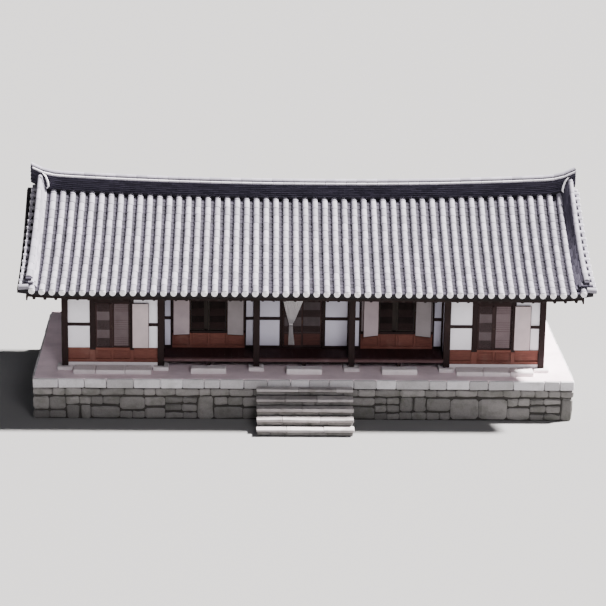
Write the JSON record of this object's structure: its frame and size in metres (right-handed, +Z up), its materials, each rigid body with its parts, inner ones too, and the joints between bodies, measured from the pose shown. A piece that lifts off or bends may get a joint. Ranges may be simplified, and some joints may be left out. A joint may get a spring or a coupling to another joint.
{
  "type": "five-bay hanok house with a gabled tile roof",
  "caption": "Single-storey Korean timber house on a stone podium: recessed porch, paper windows, sliding door, white plaster walls and a sagging grey tiled gable roof.",
  "frame": {"origin": "centre of the plan's box at ground level, under the house", "axes": "+X to the right along the front as seen from outside, +Y from the front to the back, +Z up"},
  "size_m": [15.9, 8.4, 6.5209],
  "materials": {
    "stone": "rough-dressed granite blocks, flame-worn and lichen-stained",
    "floor": "oiled floor paper over filled masonry",
    "roof_tile": "unglazed silver-grey fired clay tiles with pale lime ends",
    "timber": "dark reddish-brown stained pine",
    "plaster": "white lime plaster",
    "lattice": "grey-brown wooden lattice over paper",
    "paper": "cream mulberry paper over a wooden leaf",
    "cloth": "thin white cotton"
  },
  "bodies": {
    "house": {"back_left_verge_ridge": "roof_tile", "back_rafters": "timber", "back_right_verge_ridge": "roof_tile", "back_roof": "roof_tile", "back_wall": "plaster", "back_wall_frame": "timber", "bay_1_frame": "timber", "bay_1_wall": "plaster", "bay_2_frame": "timber", "bay_2_wall": "plaster", "bay_3_frame": "timber", "bay_3_wall": "plaster", "bay_4_frame": "timber", "bay_4_wall": "plaster", "bay_5_frame": "timber", "bay_5_wall": "plaster", "door_curtain": "cloth", "front_eave_beam": "timber", "front_left_verge_ridge": "roof_tile", "front_rafters": "timber", "front_right_verge_ridge": "roof_tile", "front_roof": "roof_tile", "front_steps": "stone", "left_bargeboards": "timber", "left_gable_wall": "plaster", "main_ridge": "roof_tile", "porch_end_wall_left": "plaster", "porch_end_wall_right": "plaster", "porch_floor": "timber", "ridge_purlin": "timber", "right_bargeboards": "timber", "right_gable_wall": "plaster", "room_floor": "floor", "stone_podium": "stone", "timber_bent_1": "timber", "timber_bent_2": "timber", "timber_bent_3": "timber", "timber_bent_4": "timber", "timber_bent_5": "timber", "timber_bent_6": "timber", "window_1_inner_leaf": "lattice", "window_1_open_leaf": "paper", "window_1_shut_leaf": "lattice", "window_2_inner_leaves": "lattice", "window_2_left_leaves": "lattice", "window_2_right_leaves": "lattice", "window_4_inner_leaves": "lattice", "window_4_left_leaves": "lattice", "window_4_right_leaves": "lattice", "window_5_inner_leaf": "lattice", "window_5_open_leaf": "paper", "window_5_shut_leaf": "lattice"},
    "left_leaf": {"door_left": "lattice"},
    "right_leaf": {"door_right": "lattice"}
  },
  "joints": [
    {"name": "door_left_slide", "type": "slide", "parent": "house", "child": "left_leaf", "axis": [1, 0, 0], "range_m": [0, 0.5]},
    {"name": "door_right_slide", "type": "slide", "parent": "house", "child": "right_leaf", "axis": [-1, 0, 0], "range_m": [0, 0.5]}
  ]
}
